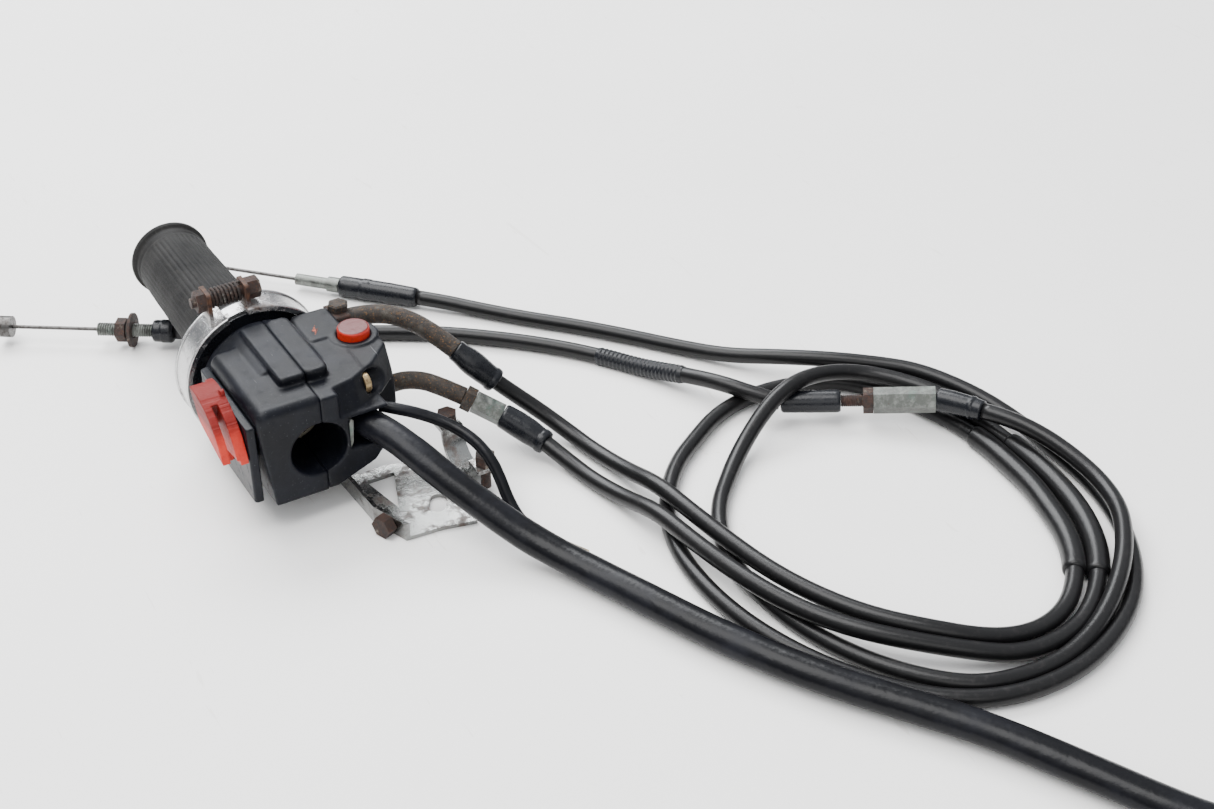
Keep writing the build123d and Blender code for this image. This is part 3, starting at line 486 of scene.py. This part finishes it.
def loom_pvc():
    """Soft glossy PVC sleeve with a whitish bloom and shallow creases."""
    f = Finish("loom_pvc", 0.32, specular=0.17)
    bloom = f.steps(f.noise(45, 5, 0.65), 0.42, 0.76)
    base = f.colours(bloom, (0.0022, 0.0023, 0.0034), (0.0065, 0.0070, 0.0105))
    dirt = f.steps(f.noise(1300, 3, 0.75), 0.70, 0.76)
    f.colour(f.colours(f.times(dirt, 0.3), base, (0.060, 0.056, 0.052)))
    f.rough(f.values(bloom, 0.28, 0.44))
    f.bump(f.sum(f.noise(120, 3), f.times(f.noise(900, 3), 0.15)), 0.00030)
    return f.material


def rusty(name, dark, rust, bright, metal, share=0.5, glint=0.0):
    """Steel under rust: dark scale, brown rust, bright specks and bare metal in between."""
    f = Finish(name, 0.7)
    scale = f.steps(f.noise(380, 8, 0.75), 0.36, 0.62)
    base = f.colours(scale, dark, rust)
    specks = f.steps(f.noise(1250, 5, 0.8), 0.56, 0.66)
    base = f.colours(f.times(specks, 0.8), base, bright)
    bare = f.steps(f.noise(170, 6, 0.7), 0.40 + share * 0.3, 0.52 + share * 0.3)
    f.colour(f.colours(bare, base, metal))
    f.metal(f.sum(f.times(bare, 0.9), f.times(specks, glint)))
    f.rough(f.values(bare, 0.72, 0.34))
    f.bump(f.sum(f.noise(900, 8, 0.8), f.times(scale, 0.5)), 0.00030)
    return f.material


def rusty_steel():
    return rusty("rusty_steel", (0.008, 0.0045, 0.0035), (0.032, 0.012, 0.007), (0.125, 0.048, 0.018),
                 (0.20, 0.17, 0.14), 0.62, 0.4)


def elbow_rust():
    return rusty("elbow_rust", (0.008, 0.0065, 0.0055), (0.026, 0.0175, 0.0115), (0.30, 0.15, 0.05),
                 (0.070, 0.063, 0.055), 0.45, 0.6)


def spring_rust():
    return rusty("spring_rust", (0.007, 0.0045, 0.0035), (0.026, 0.012, 0.008), (0.085, 0.038, 0.018),
                 (0.20, 0.19, 0.175), 0.60)


def chrome(name="chrome", rust_from=None, heavy=0.0, bright=(0.52, 0.52, 0.52)):
    """Old chrome: bright, with pits, brown stains and rust that spreads from one height up."""
    f = Finish(name, 0.12, 1.0)
    stain = f.steps(f.noise(120, 7, 0.72), 0.54 - heavy, 0.74 - heavy)
    pits = f.steps(f.noise(1500, 4, 0.8), 0.60, 0.67)
    mask = f.sum(f.times(stain, 0.75), f.times(pits, 0.8), "MAXIMUM")
    if rust_from is not None:
        ragged = f.sum(f.axis("Z"), f.times(f.noise(230, 7, 0.75), 0.012))
        mask = f.sum(mask, f.steps(ragged, rust_from, rust_from + 0.005), "MAXIMUM")
    rust = f.colours(f.steps(f.noise(520, 7, 0.8), 0.38, 0.66), (0.020, 0.008, 0.005), (0.085, 0.034, 0.015))
    f.colour(f.colours(mask, bright, rust))
    f.metal(f.values(mask, 1.0, 0.05))
    f.rough(f.values(mask, 0.11, 0.75))
    f.bump(f.sum(f.noise(1000, 7, 0.75), f.times(mask, -0.4)), 0.00010)
    return f.material


def zinc():
    """Dull zinc plate with white bloom, green and rusty stains."""
    f = Finish("zinc", 0.42, 0.8)
    bloom = f.steps(f.noise(260, 7, 0.75), 0.42, 0.66)
    base = f.colours(bloom, (0.105, 0.110, 0.102), (0.19, 0.20, 0.185))
    green = f.steps(f.noise(140, 6, 0.7), 0.54, 0.70)
    base = f.colours(f.times(green, 0.55), base, (0.10, 0.165, 0.135))
    rust = f.steps(f.noise(480, 7, 0.8, None, 0.3), 0.60, 0.70)
    f.colour(f.colours(f.times(rust, 0.8), base, (0.095, 0.042, 0.015)))
    f.metal(f.values(f.sum(bloom, rust, "MAXIMUM"), 0.95, 0.35))
    f.rough(f.values(bloom, 0.30, 0.62))
    f.bump(f.noise(900, 7, 0.75), 0.00016)
    return f.material


def brass():
    """Dull beige brass with dirt in its recesses."""
    f = Finish("brass", 0.42, 0.85)
    dirt = f.steps(f.noise(420, 7, 0.75), 0.46, 0.68)
    f.colour(f.colours(dirt, (0.34, 0.25, 0.135), (0.085, 0.050, 0.025)))
    f.metal(f.values(dirt, 0.9, 0.35))
    f.rough(f.values(dirt, 0.32, 0.66))
    f.bump(f.noise(800, 5), 0.00010)
    return f.material


def spring_steel():
    f = Finish("spring_steel", 0.32, 0.95)
    dull = f.steps(f.noise(500, 6, 0.7), 0.45, 0.70)
    f.colour(f.colours(dull, (0.085, 0.082, 0.080), (0.030, 0.026, 0.023)))
    f.rough(f.values(dull, 0.30, 0.55))
    f.bump(f.noise(1500, 3, 0.6, (1, 1, 4)), 0.00008)
    return f.material


def nylon():
    f = Finish("nylon", 0.5)
    yellow = f.steps(f.noise(90, 5), 0.40, 0.70)
    f.colour(f.colours(yellow, (0.42, 0.39, 0.31), (0.30, 0.25, 0.17)))
    f.rough(f.values(yellow, 0.42, 0.58))
    f.bump(f.noise(900, 4), 0.00006)
    return f.material


def mark_paint():
    """Orange paint, mostly rubbed away."""
    f = Finish("mark_paint", 0.6, specular=0.2)
    worn = f.steps(f.noise(900, 5, 0.75), 0.44, 0.56)
    f.colour(f.colours(worn, (0.30, 0.055, 0.020), (0.012, 0.010, 0.012)))
    f.rough(f.values(worn, 0.5, 0.7))
    f.bump(f.noise(1500, 3), 0.00005)
    return f.material


def floor_paint():
    """Pale painted table top with faint marks."""
    f = Finish("floor_paint", 0.6, specular=0.3)
    cloud = f.noise(5, 5, 0.6)
    base = f.colours(cloud, (0.84, 0.828, 0.812), (0.93, 0.922, 0.91))
    marks = f.steps(f.noise(60, 6, 0.8, None, 1.2), 0.66, 0.74)
    lines = f.steps(f.noise(26, 3, 0.5, (9, 1, 1), 0.8), 0.715, 0.730)
    base = f.colours(f.times(lines, 0.30), base, (0.62, 0.59, 0.56))
    f.colour(f.colours(f.times(marks, 0.45), base, (0.60, 0.55, 0.49)))
    f.rough(f.values(cloud, 0.5, 0.7))
    f.bump(f.noise(300, 4), 0.00005)
    return f.material


FINISHES = {
    "black_plastic": black_plastic(), "cover_plastic": cover_plastic(), "rocker_red": rocker_red(),
    "button_red": button_red(), "grip_rubber": grip_rubber(), "hose_rubber": hose_rubber(),
    "cable_sheath": cable_sheath(), "loom_pvc": loom_pvc(), "rusty_steel": rusty_steel(),
    "elbow_rust": elbow_rust(), "spring_rust": spring_rust(), "chrome": chrome(),
    "clamp_chrome": chrome("clamp_chrome", 0.0325, 0.01), "zinc": zinc(),
    "pitted_chrome": chrome("pitted_chrome", None, 0.07, (0.24, 0.245, 0.24)), "brass": brass(),
    "spring_steel": spring_steel(), "nylon": nylon(), "mark_paint": mark_paint(),
}
OWN_FINISH = {
    "kill_rocker": "rocker_red", "start_button": "button_red", "kill_switch_cover": "cover_plastic",
    "pull_nipple": "spring_steel", "pull_wire": "spring_steel", "return_wire": "spring_steel",
    "return_elbow": "elbow_rust", "pull_elbow": "elbow_rust", "band_spring": "spring_rust",
    "band_clamp": "clamp_chrome", "band_bridge": "clamp_chrome", "bracket_plate": "pitted_chrome",
    "bracket_strap": "pitted_chrome", "pull_locknut": "elbow_rust", "return_elbow_bolt": "elbow_rust",
}


def paint(piece, finish):
    piece.data.materials.clear()
    piece.data.materials.append(FINISHES[finish])


slot_of = {entry["node"]: entry["material_slot"] for entry in frame["record"]["subparts"]}
for name, node in nodes.items():
    paint(node, OWN_FINISH.get(name, slot_of[name] if slot_of[name] in FINISHES else "black_plastic"))
for piece in (return_cable, pull_cable, pull_cable_end):
    paint(piece, "cable_sheath")
for piece in (brake_lead, loom):
    paint(piece, "loom_pvc")


def placed(piece, body, slot, finish, *stands_for):
    """Finish a new piece: its material, body and the CAD nodes that it stands for. Its slot argument is not
    used.
    """
    paint(piece, finish)
    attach(piece, body)
    if stands_for:
        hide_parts(*stands_for)
    return piece


def shape(knots):
    """Size at the share of the length, straight between knots of (share, millimetres)."""
    def size(share):
        for (s0, r0), (s1, r1) in zip(knots, knots[1:]):
            if s0 <= share <= s1:
                blend = (share - s0) / (s1 - s0) if s1 > s0 else 0
                return (r0 + (r1 - r0) * blend) * MM
        return knots[-1][1] * MM
    return size


def moulded(name, line, knots, sides=36, bore=0.0):
    """Rubber boot or sleeve: a tube with a changing radius along a line."""
    size = shape(knots)
    return swept(name, line, lambda i, angle: size(i / (len(line) - 1)), sides, bore=bore)


def straight(start, end, d0, d1, count):
    """Evenly spaced points on the way from start to end, between two distances in millimetres."""
    return [along(start, end, d0 + (d1 - d0) * i / (count - 1)) for i in range(count)]


# ---- boots, sleeves and the studs' threads ----
WIRE_BORE = 1.0 * MM  # hole that an inner wire slides in


def boot(name, stands_for, line, knots, bore=0.0):
    """Rubber boot in the place of a CAD node."""
    placed(moulded(name, line, knots, bore=bore), "housing", "hose_rubber", "hose_rubber", stands_for)


def bent(route):
    """Evenly spaced points of a boot's bent axis."""
    line = line_of(route)
    return part_of(line, 0, length_of(line), 48)


boot("return_boot_moulding", "return_boot", bent([(69.0, 26.8, 6.0), *RETURN_LEAD[:3]]), [
    (0, 4.0), (0.02, 4.35), (0.12, 4.4), (0.3, 5.0), (0.42, 5.15), (0.5, 5.15), (0.8, 4.75), (0.86, 4.7),
    (0.88, 5.05), (0.95, 5.05), (0.985, 4.8), (1.0, 3.5)])
boot("pull_boot_moulding", "pull_boot", bent(PULL_LEAD[:3]), [
    (0, 4.4), (0.03, 4.9), (0.1, 5.0), (0.35, 5.25), (0.6, 5.15), (0.84, 4.6), (0.86, 4.95), (0.94, 4.95),
    (0.98, 4.6), (1.0, 3.5)])
boot("inline_boot_moulding", "inline_boot", bent([IN_B, (237.4, -78.6, -16.0), (241.5, -88.8, -15.2)]), [
    (0, 4.4), (0.03, 4.75), (0.3, 4.7), (0.7, 4.4), (0.72, 4.7), (0.78, 4.7), (0.8, 4.3), (0.98, 4.0),
    (1.0, 3.5)])
boot("inline_sleeve_moulding", "inline_sleeve", straight(IN_A, IN_B, 0.1, 24.1, 40), [
    (0, 3.4), (0.02, 4.2), (0.05, 4.45), (0.5, 4.6), (0.94, 4.6), (0.985, 4.4), (1.0, 3.9)])
boot("return_end_moulding", "return_end_boot", straight(A_IN, A_OUT, 0.05, 37.0, 64), [
    (0, 3.5), (0.02, 4.1), (0.05, 4.3), (0.35, 4.7), (0.6, 4.75), (0.62, 4.95), (0.7, 4.95), (0.72, 4.7),
    (0.96, 4.7), (0.99, 4.5), (1.0, 3.0)])
boot("pull_end_moulding", "pull_end_cap", straight(B_CAP, B_END, 0.05, 9.05, 28), [
    (0, 3.6), (0.06, 4.6), (0.14, 5.0), (0.55, 5.05), (0.6, 4.8), (0.9, 4.75), (0.97, 4.5), (1.0, 3.2)],
    bore=WIRE_BORE)


def threaded(name, start, end, d0, d1, radius, pitch):
    """Rod with a real thread: its radius follows a helix of rounded ridges."""
    count = int((d1 - d0) / pitch * 8)

    def size(i, angle):
        turn = i / 8 - angle / (2 * math.pi)
        ridge = abs((turn % 1.0) * 2 - 1)
        return (radius - 0.6 * pitch * (1 - min(1.0, ridge * 1.25))) * MM
    return swept(name, straight(start, end, d0, d1, count), size, 28, bore=WIRE_BORE)


placed(threaded("pull_stud_thread", B_CAP, B_END, 0.1, 33.1, 2.9, 1.0), "housing", "zinc", "zinc",
       "pull_end_stud")
placed(threaded("inline_stud_thread", IN_A, IN_B, 24.15, 42.1, 2.5, 0.8), "housing", "rusty_steel",
       "rusty_steel", "inline_stud")

# sleeves shrunk over the cables: two in the coil and a ribbed one near the pull cable's far end


def nearest(line, place):
    """How far along the line it comes nearest to a place given in millimetres."""
    goal = Vector(place) * MM
    best = min(range(len(line)), key=lambda i: (line[i] - goal).length)
    return length_of(line[:best + 1])


SLEEVE = [(0, 3.4), (0.006, 4.2), (0.02, 4.45), (0.5, 4.5), (0.98, 4.45), (0.994, 4.2), (1.0, 3.4)]
for name, line, place, length in (
    ("return_coil_sleeve", return_line, oval_place(304, 60.5, -25.4), 0.090),
    ("pull_coil_sleeve", pull_line, oval_place(306, 68.5, -25.4), 0.085),
):
    start = nearest(line[:len(line) // 2], place)
    covered = part_of(line, start, start + length, 120)
    placed(moulded(name, covered, SLEEVE), "housing", "hose_rubber", "cable_sheath")

RIBBED_LENGTH = 0.042
RIB_POINTS = 12  # points along the line for each rib
RIBBED_POINTS = 22 * RIB_POINTS


def ribbed(i, angle):
    """Tight ribs, the same all round, on a slightly swollen sleeve that tapers at both ends."""
    ends = min(1.0, i / 6, (RIBBED_POINTS - 1 - i) / 6)
    wave = math.cos(2 * math.pi * i / RIB_POINTS)
    return (3.35 + 0.55 * ends * (0.78 + 0.22 * wave)) * MM


ribs_end = nearest(tail_line, (140.0, 39.0, CABLE_Z))
covered = part_of(tail_line, ribs_end - RIBBED_LENGTH, ribs_end, RIBBED_POINTS)
placed(swept("ribbed_sleeve", covered, ribbed, 28), "housing", "hose_rubber", "hose_rubber")


# ---- worn moulded shells: the CAD shape with every edge rounded ----
def softened(name, body, slot, finish, voxel, passes, grow=0.0):
    """A copy of a CAD node with its sharp edges worn round, grown again by what smoothing takes."""
    piece = bpy.data.objects.new(f"{name}_moulding", nodes[name].data.copy())
    bpy.context.scene.collection.objects.link(piece)
    remesh = piece.modifiers.new("remesh", "REMESH")
    remesh.mode = "VOXEL"
    remesh.voxel_size = voxel * MM
    remesh.use_smooth_shade = True
    smooth = piece.modifiers.new("smooth", "SMOOTH")
    smooth.factor = 0.5
    smooth.iterations = passes
    displace = piece.modifiers.new("grow", "DISPLACE")
    displace.strength = grow * MM
    displace.mid_level = 0
    bpy.context.view_layer.update()
    final = bpy.data.meshes.new_from_object(piece.evaluated_get(bpy.context.evaluated_depsgraph_get()))
    piece.modifiers.clear()
    piece.data = final
    final.polygons.foreach_set("use_smooth", [True] * len(final.polygons))
    return placed(piece, body, slot, finish, name)


softened("upper_housing", "housing", "black_plastic", "black_plastic", 0.45, 14, 0.22)
softened("lower_housing", "housing", "black_plastic", "black_plastic", 0.45, 14, 0.22)
softened("kill_switch_cover", "housing", "black_plastic", "cover_plastic", 0.40, 9, 0.12)
softened("kill_rocker", "kill_rocker", "red_plastic", "rocker_red", 0.28, 7)
softened("start_button", "start_button", "red_plastic", "button_red", 0.20, 5)

# generic bolt mark beside the start button, pressed in and faded
BOLT_MARK = [(1.6, 3.6), (-1.7, -0.6), (-0.2, -0.6), (-1.5, -3.6), (1.9, 0.7), (0.3, 0.7)]
MARK_AT = (18.5, 43.5)
mark_points = []
for height in (21.4, 22.06):
    for u, v in BOLT_MARK:
        mark_points.append(((MARK_AT[0] + u) * MM, (MARK_AT[1] + v) * MM, height * MM))
sides = [(i, (i + 1) % 6, 6 + (i + 1) % 6, 6 + i) for i in range(6)]
mark = new_mesh("start_mark", mark_points, sides + [tuple(range(6, 12)), tuple(reversed(range(6)))], False)
placed(mark, "housing", "red_plastic", "mark_paint")

# ---- grip: fluted where the hand hasn't rubbed it smooth ----
FLUTES = 46
FLUTED = (64.5, 155.0)  # stretch of the grip along Y that is fluted
GRIP_PROFILE = [
    (58.0, 13.1), (57.5, 13.8), (57.5, 16.6), (57.9, 17.2), (58.6, 17.4), (60.0, 17.4), (61.0, 17.35),
    (61.4, 17.0), (62.0, 16.95), (62.4, 17.3), (64.0, 17.25), (70.0, 17.12), (80.0, 16.93), (90.0, 16.74),
    (100.0, 16.55), (110.0, 16.37), (120.0, 16.18), (130.0, 16.0), (140.0, 15.8), (150.0, 15.62),
    (155.5, 15.5), (156.0, 15.25), (157.0, 15.2), (157.5, 15.45), (160.4, 15.4), (161.0, 15.6),
    (161.3, 16.2), (161.8, 16.65), (162.6, 16.8), (163.5, 16.75), (164.1, 16.4), (164.5, 15.6),
    (164.5, 6.0), (164.2, 4.6), (163.4, 4.05), (161.9, 4.05),
]


def dense(profile, longest):
    """The profile with its long runs divided, so that the surface can carry relief."""
    points = []
    for (y0, r0), (y1, r1) in zip(profile, profile[1:]):
        count = max(1, math.ceil(math.hypot(y1 - y0, r1 - r0) / longest))
        points += [(y0 + (y1 - y0) * i / count, r0 + (r1 - r0) * i / count) for i in range(count)]
    return points + [profile[-1]]


def lathe_y(name, profile, sides, relief):
    """Shell turned about the bar axis, with relief(y, angle, r) added to its radius."""
    vertices, faces = [], []
    for y, r in profile:
        for s in range(sides):
            angle = 2 * math.pi * s / sides
            size = (r + relief(y, angle, r)) * MM
            vertices.append((size * math.cos(angle), y * MM, size * math.sin(angle)))
    for i in range(len(profile) - 1):
        for s in range(sides):
            t = (s + 1) % sides
            a, b = i * sides, (i + 1) * sides
            faces.append((a + s, b + s, b + t, a + t))
    return new_mesh(name, vertices, faces)


def flutes(y, angle, r):
    """Shallow lengthwise flutes, deepest on the upper cable side and worn away in front."""
    if y < FLUTED[0] or y > FLUTED[1] or r < 14:
        return 0.0
    ends = min(1.0, (y - FLUTED[0]) / 2.5, (FLUTED[1] - y) / 2.5)
    facing = math.cos(angle - math.radians(25))
    kept = 0.16 + 0.84 * min(1.0, max(0.0, 0.45 + 0.75 * facing))
    wear = 0.75 + 0.5 * noise.noise(Vector((y * 0.06, math.cos(angle) * 1.5, math.sin(angle) * 1.5)))
    groove = 0.5 - 0.5 * math.cos(FLUTES * angle)
    dent = 0.14 * noise.noise(Vector((y * 0.11, math.cos(angle) * 2.2, math.sin(angle) * 2.2 + 7)))
    return dent - 0.62 * ends * kept * wear * groove ** 1.6


grip = lathe_y("grip_moulding", dense(GRIP_PROFILE, 1.6), FLUTES * 10, flutes)
placed(grip, "throttle", "grip_rubber", "grip_rubber", "grip_rubber")

# ---- floor and soft studio light ----
floor = new_mesh("floor", [(-3, -3, FLOOR - 0.0002), (3, -3, FLOOR - 0.0002), (3, 3, FLOOR - 0.0002),
                           (-3, 3, FLOOR - 0.0002)], [(0, 1, 2, 3)], smooth=False)
floor.data.materials.append(floor_paint())

AIM = Vector((0.06, 0.02, 0.0))


def softbox(name, place, size, power, colour=(1.0, 1.0, 1.0)):
    light = bpy.data.lights.new(name, "AREA")
    light.shape = "RECTANGLE"
    light.size, light.size_y = size
    light.energy = power
    light.color = colour
    lamp = bpy.data.objects.new(name, light)
    bpy.context.scene.collection.objects.link(lamp)
    lamp.location = place
    lamp.rotation_euler = (AIM - Vector(place)).to_track_quat("-Z", "Y").to_euler()


softbox("window", (0.15, 1.3, 1.35), (1.6, 0.9), 62.0, (0.97, 0.985, 1.0))
softbox("overhead", (-0.5, 0.1, 1.7), (1.3, 1.3), 46.0, (1.0, 0.995, 0.985))
softbox("front_fill", (-0.7, -1.4, 0.9), (1.4, 1.0), 9.0, (1.0, 0.99, 0.97))


def studio_sky():
    """Bright ceiling and horizon with a dark band between them, for the chrome to reflect."""
    world = bpy.data.worlds.new("studio")
    world.use_nodes = True
    sky, links = world.node_tree.nodes, world.node_tree.links
    background = sky["Background"]
    background.inputs["Strength"].default_value = 1.25
    direction = sky.new("ShaderNodeSeparateXYZ")
    ramp = sky.new("ShaderNodeValToRGB")
    bands = ramp.color_ramp.elements
    bands[0].position = 0.06
    bands[0].color = (0.80, 0.82, 0.85, 1.0)
    bands[1].position = 0.60
    bands[1].color = (0.94, 0.965, 1.0, 1.0)
    bands.new(0.11).color = (0.09, 0.095, 0.105, 1.0)
    bands.new(0.22).color = (0.14, 0.145, 0.155, 1.0)
    links.new(sky.new("ShaderNodeTexCoord").outputs["Generated"], direction.inputs[0])
    links.new(direction.outputs["Z"], ramp.inputs["Fac"])
    links.new(ramp.outputs["Color"], background.inputs["Color"])
    return world


bpy.context.scene.world = studio_sky()

bpy.context.view_layer.update()
